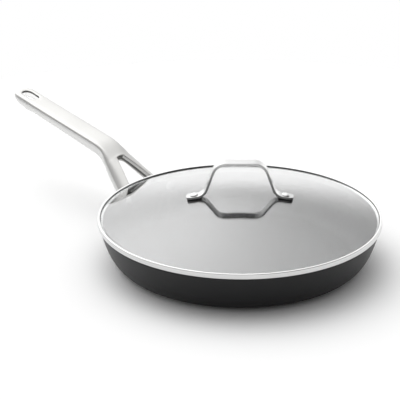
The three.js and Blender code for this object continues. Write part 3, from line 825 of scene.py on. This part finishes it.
def clear_glass_finish():
    material, tree, shader = new_finish("clear_glass")
    grain = add_effect(tree, surface_grain, {"Fine Scale": 220, "Broad Scale": 14})
    feed(tree, shader, {
        "Base Color": GLASS_TINT,
        "Roughness": spread(tree, grain["Broad"], low=0.0, high=0.03),
        "Transmission Weight": 1,
        "IOR": GLASS_INDEX,
        "Metallic": 0,
    })
    return material


glass.data.materials.append(clear_glass_finish())
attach(glass, "lid")
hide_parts("lid_glass")


# Rim band: one strip of polished steel, formed round the glass. Its lip lies on the glass, its flange
# sits on the pan's rim, and its skirt hangs inside the wall and keeps the lid centred.
BAND_SHEET = 0.75 * MM
BAND_SHOULDER = 0.8 * MM
BAND_CORNER = 0.5 * MM
LIP_WIDTH = 2.0 * MM
LIP_HEM = 1.2 * MM
SKIRT_DEPTH = 4 * MM
LID_PLAY = 0.8 * MM
BAND_SIDES = 224
SHOULDER_RINGS = 8
CORNER_RINGS = 4
HEM_RINGS = 6


def skirt_radius(drop):
    return inner_point(share_at(rim_line - drop, inner_point)).x - LID_PLAY


def band_profile():
    """Section of the band: out along the flange, up and over to the lip, and back down to the skirt."""
    lip_inner = lid_radius - LIP_WIDTH
    shoulder_inner = lid_radius - BAND_SHOULDER
    lip_top = dome_height(lip_inner) + SEAT_GAP + LIP_HEM
    upright = lip_top - BAND_SHOULDER
    skirt_top, skirt_low = skirt_radius(0), skirt_radius(SKIRT_DEPTH)
    line = [Vector((skirt_top, 0)), Vector((lid_radius - BAND_CORNER, 0))]
    corner = Vector((lid_radius - BAND_CORNER, BAND_CORNER))
    for angle in steps(0, math.pi / 2, CORNER_RINGS)[1:]:
        line.append(corner + BAND_CORNER * Vector((math.sin(angle), -math.cos(angle))))
    for angle in steps(0, math.pi / 2, SHOULDER_RINGS):
        around = BAND_SHOULDER * Vector((math.cos(angle), math.sin(angle)))
        line.append(Vector((shoulder_inner, upright)) + around)
    line.append(Vector((lip_inner, lip_top)))
    edge = Vector((lip_inner, lip_top - LIP_HEM / 2))
    for angle in steps(0, math.pi, HEM_RINGS)[1:-1]:
        line.append(edge + LIP_HEM / 2 * Vector((-math.sin(angle), math.cos(angle))))
    line += [Vector((lip_inner, lip_top - LIP_HEM)), Vector((lid_radius - BAND_SHEET, lip_top - LIP_HEM))]
    line += [Vector((lid_radius - BAND_SHEET, BAND_SHEET)), Vector((skirt_top - BAND_SHEET, BAND_SHEET))]
    line += [Vector((skirt_low - BAND_SHEET, -SKIRT_DEPTH)), Vector((skirt_low, -SKIRT_DEPTH)), line[0]]
    return [Vector((point.x, point.y + lid_seat)) for point in line]


band = turn_up("rim_band", band_profile(), BAND_SIDES)
band.data.materials.append(polished_steel)
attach(band, "lid")
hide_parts("lid_rim")


# Strap handle: a bar of polished steel, bent into an arch with a flat tab at each end. The tabs stand on
# silicone pads, and one rivet goes through each.
STRAP_SPAN = 114 * MM
STRAP_WIDTH = 12.5 * MM
STRAP_THICKNESS = 2.6 * MM
STRAP_RISE = 68.1 * MM
STRAP_TAB = 18.8 * MM
STRAP_LEAN = 12.8 * MM
STRAP_CORNER_LOW = 7.5 * MM
STRAP_CORNER_HIGH = 11 * MM
STRAP_EDGE = 0.35 * MM
DRAWN_DARK = (0.52, 0.52, 0.518, 1)
DRAWN_LIGHT = (0.58, 0.58, 0.576, 1)
BEND_STEPS = 12
TAB_CORNER = 4 * MM
TAB_CORNER_STEPS = 6
STRAP_SMOOTH_ANGLE = math.radians(35)
DRILL_DEPTH = 20 * MM
LID_RIVET_MARGIN = 8.5 * MM
LID_RIVET_SHANK = 2.6 * MM
HOLE_CLEARANCE = 0.3 * MM
PAD_THICKNESS = 0.6 * MM
PAD_GAP = 0.05 * MM

lid_hole = STRAP_SPAN / 2 - LID_RIVET_MARGIN
lid_hole_tilt = dome_tilt(lid_hole)
bore = LID_RIVET_SHANK + HOLE_CLEARANCE
tab_low = PAD_GAP + PAD_THICKNESS + PAD_GAP


def lid_hole_frame(side):
    """Place of a hole on top of the glass, with the Z axis square to it."""
    place = Matrix.Translation((side * lid_hole, 0, dome_height(lid_hole)))
    return lid_frame @ place @ Matrix.Rotation(side * lid_hole_tilt, 4, "Y")


def bent_strap():
    """Half of the strap: its section drawn along the top, bent, drawn down the leg, bent and drawn out."""
    seat = Vector((lid_hole, 0, dome_height(lid_hole)))
    square = Vector((math.sin(lid_hole_tilt), 0, math.cos(lid_hole_tilt)))
    tab_middle = seat + square * (tab_low + STRAP_THICKNESS / 2)
    foot_x = STRAP_SPAN / 2 - STRAP_TAB
    low_corner = Vector((foot_x, 0, tab_middle.z - (foot_x - tab_middle.x) * math.tan(lid_hole_tilt)))
    high_corner = Vector((foot_x - STRAP_LEAN, 0, STRAP_RISE - STRAP_THICKNESS / 2))
    leg = low_corner - high_corner
    leg_angle = math.atan2(-leg.z, leg.x)
    high_turn = leg_angle
    low_turn = leg_angle - lid_hole_tilt
    high_bend = STRAP_CORNER_HIGH / math.tan(high_turn / 2)
    low_bend = STRAP_CORNER_LOW / math.tan(low_turn / 2)
    top_end = high_corner - Vector((STRAP_CORNER_HIGH, 0, 0))
    leg_end = low_corner - leg.normalized() * STRAP_CORNER_LOW
    leg_run = leg.length - STRAP_CORNER_HIGH - STRAP_CORNER_LOW
    leg_side = Vector((leg.z, 0, -leg.x)).normalized()
    tab_way = Vector((math.cos(lid_hole_tilt), 0, -math.sin(lid_hole_tilt)))
    tab_start = low_corner + tab_way * STRAP_CORNER_LOW
    tab_run = (STRAP_SPAN / 2 - tab_start.x) / tab_way.x

    bpy.ops.object.select_all(action="DESELECT")
    section_middle = (0, 0, high_corner.z)
    bpy.ops.mesh.primitive_plane_add(size=1, location=section_middle, rotation=(0, math.pi / 2, 0))
    piece = start_piece("strap_handle")
    bpy.ops.transform.resize(value=(1, STRAP_WIDTH, STRAP_THICKNESS), center_override=section_middle)
    bpy.ops.mesh.extrude_region_move(TRANSFORM_OT_translate={"value": (top_end.x, 0, 0)})
    high_centre = top_end - Vector((0, 0, high_bend))
    bpy.ops.mesh.spin(steps=BEND_STEPS, angle=-high_turn, center=high_centre, axis=(0, 1, 0))
    bpy.ops.mesh.extrude_region_move(TRANSFORM_OT_translate={"value": leg.normalized() * leg_run})
    low_centre = leg_end - leg_side * low_bend
    bpy.ops.mesh.spin(steps=BEND_STEPS, angle=low_turn, center=low_centre, axis=(0, 1, 0))
    bpy.ops.mesh.extrude_region_move(TRANSFORM_OT_translate={"value": tab_way * tab_run})
    return piece


def drill(piece, place, radius):
    """A round hole through a piece, along the Z axis of a place."""
    bpy.ops.object.select_all(action="DESELECT")
    bpy.ops.mesh.primitive_cylinder_add(vertices=RIVET_SIDES, radius=radius, depth=DRILL_DEPTH)
    tool = bpy.context.object
    tool.data.transform(place)
    combine(piece, tool, "DIFFERENCE")


def is_tab_corner(edge):
    """Whether an edge is one of the upright corners at the end of a tab."""
    first, second = (point.co for point in edge.verts)
    is_at_end = min(abs(first.x), abs(second.x)) > STRAP_SPAN / 2 - MM
    return is_at_end and abs(first.y - second.y) < TOUCHING


strap = bent_strap()
mirror_half(strap, axis=0)
pick(strap, "EDGE", is_tab_corner)
bpy.ops.mesh.bevel(offset=TAB_CORNER, segments=TAB_CORNER_STEPS, affect="EDGES")
close_up(strap)
strap.data.transform(lid_frame)
for side in (1, -1):
    drill(strap, lid_hole_frame(side), bore)
apply_modifier(strap, "BEVEL", width=STRAP_EDGE, segments=EDGE_STEPS, angle_limit=STRAP_SMOOTH_ANGLE)
bpy.ops.object.shade_smooth_by_angle(angle=STRAP_SMOOTH_ANGLE)


def drawn_steel_finish():
    material, tree, shader = new_finish("drawn_steel")
    grain = add_effect(tree, surface_grain, {"Fine Scale": 900, "Broad Scale": 40})
    lines = add_effect(tree, drawn_lines, {"Turn": (0, 0, -LID_TURN), "Stretch": (80, 2200, 80)})
    feed(tree, shader, {
        "Base Color": blend_colours(tree, grain["Broad"], DRAWN_DARK, DRAWN_LIGHT),
        "Roughness": spread(tree, lines["Lines"], low=0.10, high=0.20),
        "Normal": relief(tree, grain["Fine"], strength=0.05, depth=0.02 * MM),
        "Metallic": 1,
    })
    return material


strap.data.materials.clear()
strap.data.materials.append(drawn_steel_finish())
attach(strap, "lid")
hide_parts("lid_handle")


# Pads and seals: black silicone on both sides of the glass at each rivet. The pad carries the strap's
# tab, and the seal keeps the steel washer off the glass underneath.
PAD_LENGTH = 16 * MM
PAD_MARGIN = 0.4 * MM
PAD_EDGE = 0.2 * MM
SEAL_RADIUS = 8 * MM
SEAL_THICKNESS = 1.2 * MM
SEAL_EDGE = 0.3 * MM
RING_SIDES = 48
SILICONE_DARK = (0.012, 0.012, 0.013, 1)
SILICONE_LIGHT = (0.022, 0.022, 0.023, 1)

seal_top = -GLASS_THICKNESS - SEAT_GAP
seal_low = seal_top - SEAL_THICKNESS
washer_top = seal_low - SEAT_GAP


def pad_plate(length, width, corner, low, high):
    """A plate with rounded corners, drawn up from a plane."""
    bpy.ops.object.select_all(action="DESELECT")
    bpy.ops.mesh.primitive_plane_add(size=1, location=(0, 0, low))
    plate = start_piece("strap_pad_1")
    bpy.ops.transform.resize(value=(length, width, 1), center_override=(0, 0, 0))
    bpy.ops.mesh.bevel(offset=corner, segments=TAB_CORNER_STEPS, affect="VERTICES")
    bpy.ops.mesh.select_all(action="SELECT")
    bpy.ops.mesh.extrude_region_move(TRANSFORM_OT_translate={"value": (0, 0, high - low)})
    return close_up(plate)


def ring_profile(inside, outside, low, high, edge):
    """A flat ring with eased edges, as a closed profile."""
    corners = [(inside, low + edge), (inside + edge, low), (outside - edge, low), (outside, low + edge),
               (outside, high - edge), (outside - edge, high), (inside + edge, high), (inside, high - edge)]
    return [Vector(corner) for corner in corners + corners[:1]]


def silicone_finish():
    material, tree, shader = new_finish("black_silicone")
    grain = add_effect(tree, surface_grain, {"Fine Scale": 2400, "Broad Scale": 120})
    feed(tree, shader, {
        "Base Color": blend_colours(tree, grain["Broad"], SILICONE_DARK, SILICONE_LIGHT),
        "Roughness": spread(tree, grain["Fine"], low=0.55, high=0.72),
        "Normal": relief(tree, grain["Fine"], strength=0.2, depth=0.03 * MM),
    })
    return material


def place_pair(piece, node):
    """Sets a piece and its copy at the two holes of the lid, in place of a pair of nodes."""
    pair = [piece, copy_of(piece, piece.name[:-1] + "2")]
    for number, side in ((1, 1), (2, -1)):
        placed = pair[number - 1]
        placed.data.transform(lid_hole_frame(side))
        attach(placed, "lid")
        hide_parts(f"{node}_{number}")
        yield placed


silicone = silicone_finish()
pad = pad_plate(PAD_LENGTH, STRAP_WIDTH + 2 * PAD_MARGIN, TAB_CORNER, PAD_GAP, PAD_GAP + PAD_THICKNESS)
drill(pad, Matrix.Identity(4), bore)
apply_modifier(pad, "BEVEL", width=PAD_EDGE, segments=EDGE_STEPS, angle_limit=SMOOTH_ANGLE)
bpy.ops.object.shade_smooth_by_angle(angle=SMOOTH_ANGLE)
pad.data.materials.clear()
pad.data.materials.append(silicone)
for placed in place_pair(pad, "lid_pad"):
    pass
seal_shape = ring_profile(bore, SEAL_RADIUS, seal_low, seal_top, SEAL_EDGE)
seal = turn_up("strap_seal_1", seal_shape, RING_SIDES)
seal.data.materials.append(silicone)
for placed in place_pair(seal, "lid_seal"):
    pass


# Strap rivets and washers: each rivet has a domed head on the tab and goes down through pad, glass and
# seal. Its tail is formed over a steel washer under the glass.
LID_RIVET_HEAD = 4.6 * MM
LID_RIVET_HEAD_RISE = 2.1 * MM
LID_RIVET_TAIL = 4.2 * MM
LID_RIVET_TAIL_RISE = 1.4 * MM
WASHER_RADIUS = 7 * MM
WASHER_THICKNESS = 1 * MM
WASHER_EDGE = 0.2 * MM

washer_low = washer_top - WASHER_THICKNESS
washer_shape = ring_profile(bore, WASHER_RADIUS, washer_low, washer_top, WASHER_EDGE)
washer = turn_up("strap_washer_1", washer_shape, RING_SIDES)
washer.data.materials.append(polished_steel)
for placed in place_pair(washer, "lid_washer"):
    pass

strap_rivet_shape = rivet_profile(-tab_low - STRAP_THICKNESS, -washer_low, LID_RIVET_SHANK, LID_RIVET_HEAD,
                                  LID_RIVET_HEAD_RISE, LID_RIVET_TAIL, LID_RIVET_TAIL_RISE)
strap_rivet = turn_up("strap_rivet_1", strap_rivet_shape, RIVET_SIDES)
strap_rivet.data.transform(Matrix.Rotation(math.pi, 4, "X"))
strap_rivet.data.materials.append(polished_steel)
for placed in place_pair(strap_rivet, "lid_rivet"):
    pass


# Studio: a round white floor under a soft sky. The sky is brightest high up behind the pan and overhead, it
# glows low down behind it, and softer lights stand at both sides and in front. The camera sees plain white,
# also through the glass, and metal mirrors a white floor.
CAMERA_AZIMUTH = 46
FLOOR_REACH = 0.65
FLOOR_DROP = 0.05 * MM
FLOOR_SIDES = 128
FLOOR_WHITE = (0.88, 0.88, 0.88, 1)
FLOOR_SEEN = (1, 1, 1, 1)
KEY = {"azimuth": CAMERA_AZIMUTH + 206, "elevation": 42, "strength": 2.72, "narrowing": 5.9}
TOP = {"azimuth": 0, "elevation": 90, "strength": 1.35, "narrowing": 8}
LEFT = {"azimuth": CAMERA_AZIMUTH - 84, "elevation": 24, "strength": 0.5, "narrowing": 2}
RIGHT = {"azimuth": CAMERA_AZIMUTH + 128, "elevation": 24, "strength": 0.71, "narrowing": 3}
FRONT = {"azimuth": CAMERA_AZIMUTH, "elevation": 10, "strength": 0.5, "narrowing": 10}
GLOW_LIGHT = 1.14
GLOW_TOP = 0.45
FILL_LIGHT = 0.03
HALF_A_BOUNCE = 0.5

bpy.ops.object.select_all(action="DESELECT")
bpy.ops.mesh.primitive_circle_add(vertices=FLOOR_SIDES, radius=FLOOR_REACH, fill_type="NGON",
                                  location=(0, 0, -FLOOR_DROP))
studio_floor = bpy.context.object
studio_floor.name = "studio_floor"
paper, paper_tree, paper_shader = new_finish("floor_paper")


def plain_sight(tree):
    """1 for the camera's own view and for what it sees through the glass, and 0 for light on its way."""
    path = tree.nodes.new("ShaderNodeLightPath").outputs
    bounces = node_math(tree, "ADD", path["Diffuse Depth"], path["Glossy Depth"])
    is_straight = node_math(tree, "LESS_THAN", bounces, HALF_A_BOUNCE)
    return node_math(tree, "MULTIPLY_ADD", path["Is Transmission Ray"], is_straight, path["Is Camera Ray"])


mirrored = paper_tree.nodes.new("ShaderNodeLightPath").outputs["Is Glossy Ray"]
seen = node_math(paper_tree, "MAXIMUM", plain_sight(paper_tree), mirrored)
feed(paper_tree, paper_shader, {
    "Base Color": blend_colours(paper_tree, seen, FLOOR_WHITE, FLOOR_SEEN),
    "Roughness": 0.9,
    "Specular IOR Level": 0.1,
})
studio_floor.data.materials.append(paper)


def direction(azimuth, elevation):
    """From the object towards a place round it."""
    a, e = math.radians(azimuth), math.radians(elevation)
    return Vector((math.sin(a) * math.cos(e), -math.cos(a) * math.cos(e), math.sin(e)))


studio = bpy.data.worlds.new("studio")
bpy.context.scene.world = studio
studio.use_nodes = True
sky = studio.node_tree
looking = sky.nodes.new("ShaderNodeTexCoord").outputs["Generated"]


def towards(azimuth, elevation):
    """How far a look into the sky goes one way: 1 straight there, and 0 square to it."""
    way = direction(azimuth, elevation)
    product = add_node(sky, "ShaderNodeVectorMath", {0: looking, 1: way}, operation="DOT_PRODUCT")
    return product.outputs["Value"]


low_down = add_node(sky, "ShaderNodeMapRange", {
    "Value": towards(0, 90), "From Max": GLOW_TOP, "To Min": GLOW_LIGHT, "To Max": 0,
}, interpolation_type="SMOOTHSTEP").outputs[0]
behind = node_math(sky, "MAXIMUM", towards(CAMERA_AZIMUTH + 180, 0), 0)
light = node_math(sky, "MULTIPLY_ADD", behind, low_down, FILL_LIGHT)
for lamp in (KEY, TOP, LEFT, RIGHT, FRONT):
    facing = node_math(sky, "MAXIMUM", towards(lamp["azimuth"], lamp["elevation"]), 0)
    narrowed = node_math(sky, "POWER", facing, lamp["narrowing"])
    light = node_math(sky, "MULTIPLY_ADD", narrowed, lamp["strength"], light)
strength = spread(sky, plain_sight(sky), light, 1)
feed(sky, sky.nodes["Background"], {"Color": (1, 1, 1, 1), "Strength": strength})


# Camera: a long lens, a little above the pan, with the long handle running away to the left. Colours are
# shown as they are, without a film look.
CAMERA_ELEVATION = 22.567
CAMERA_DISTANCE = 2.5924
CAMERA_TARGET = Vector((-0.02957, -0.03062, 0.06944))
CAMERA_LENS = 218.87

camera_data = bpy.data.cameras.new("camera")
camera_data.lens = CAMERA_LENS
camera = bpy.data.objects.new("camera", camera_data)
bpy.context.scene.collection.objects.link(camera)
back = direction(CAMERA_AZIMUTH, CAMERA_ELEVATION)
camera.location = CAMERA_TARGET + back * CAMERA_DISTANCE
camera.rotation_mode = "QUATERNION"
camera.rotation_quaternion = (-back).to_track_quat("-Z", "Y")
bpy.context.scene.camera = camera
bpy.context.scene.view_settings.view_transform = "Standard"
